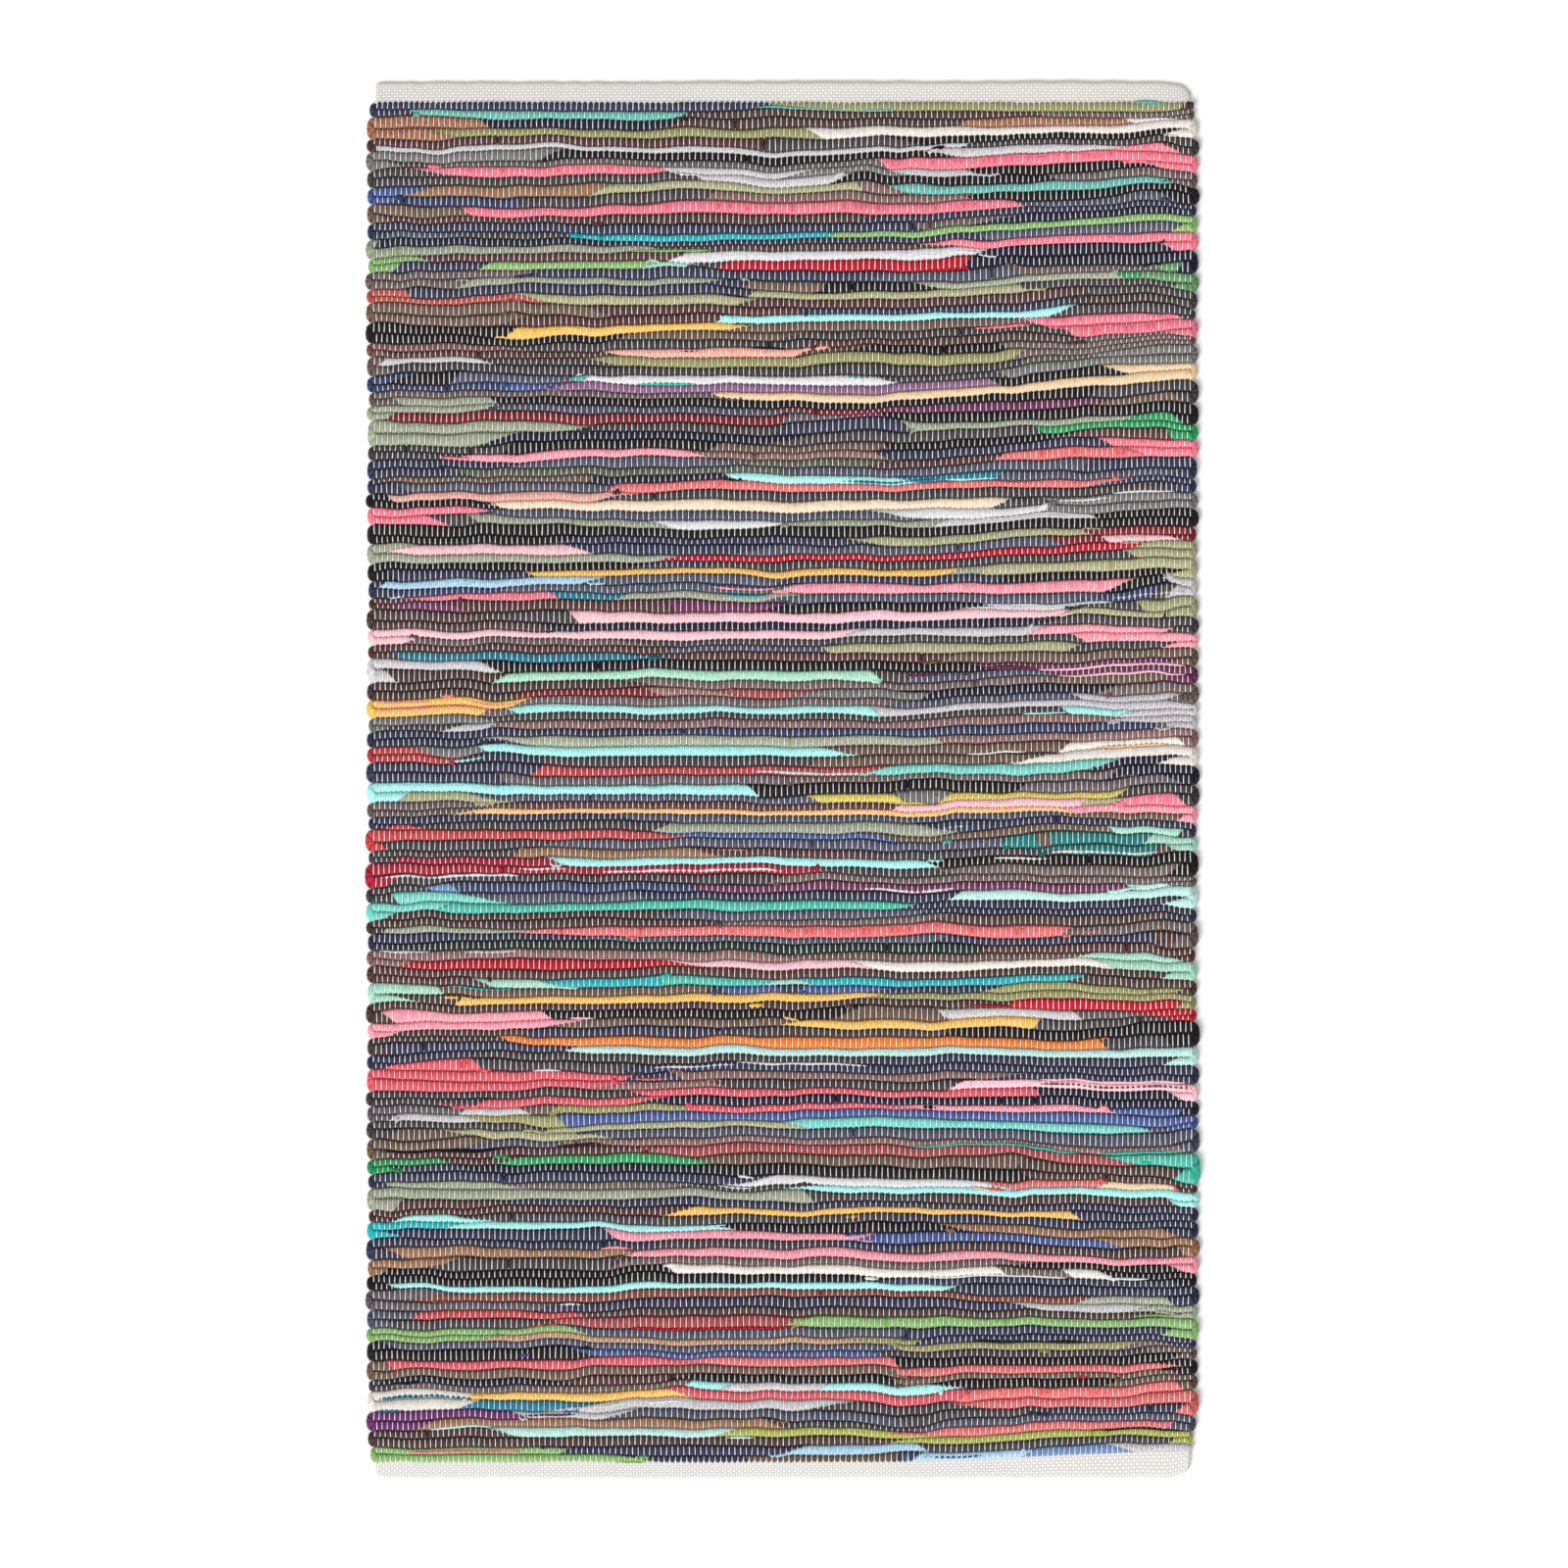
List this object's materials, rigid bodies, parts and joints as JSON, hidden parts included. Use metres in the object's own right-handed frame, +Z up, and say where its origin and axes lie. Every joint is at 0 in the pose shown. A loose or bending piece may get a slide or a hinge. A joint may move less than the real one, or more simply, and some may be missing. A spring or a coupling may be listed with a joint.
{
  "type": "rag rug",
  "caption": "Oblong hand-woven rag rug lying flat, with crosswise rag strips in many colours and a folded cotton heading at each end.",
  "frame": {"origin": "under the middle of the rug, on the surface it lies on", "axes": "+X across the rug, along the rag strips; +Y along its length, towards the far heading; +Z up through its thickness"},
  "size_m": [0.8958, 1.5, 0.008],
  "materials": {
    "rag_cloth": "strips torn from cotton jersey and shirting in mixed colours, mostly dark, tied down by white cotton warp",
    "heading_cotton": "unbleached cotton in a plain canvas weave, matt"
  },
  "bodies": {
    "root": {"rag_field": "rag_cloth", "heading_far": "heading_cotton", "heading_near": "heading_cotton"}
  },
  "joints": []
}
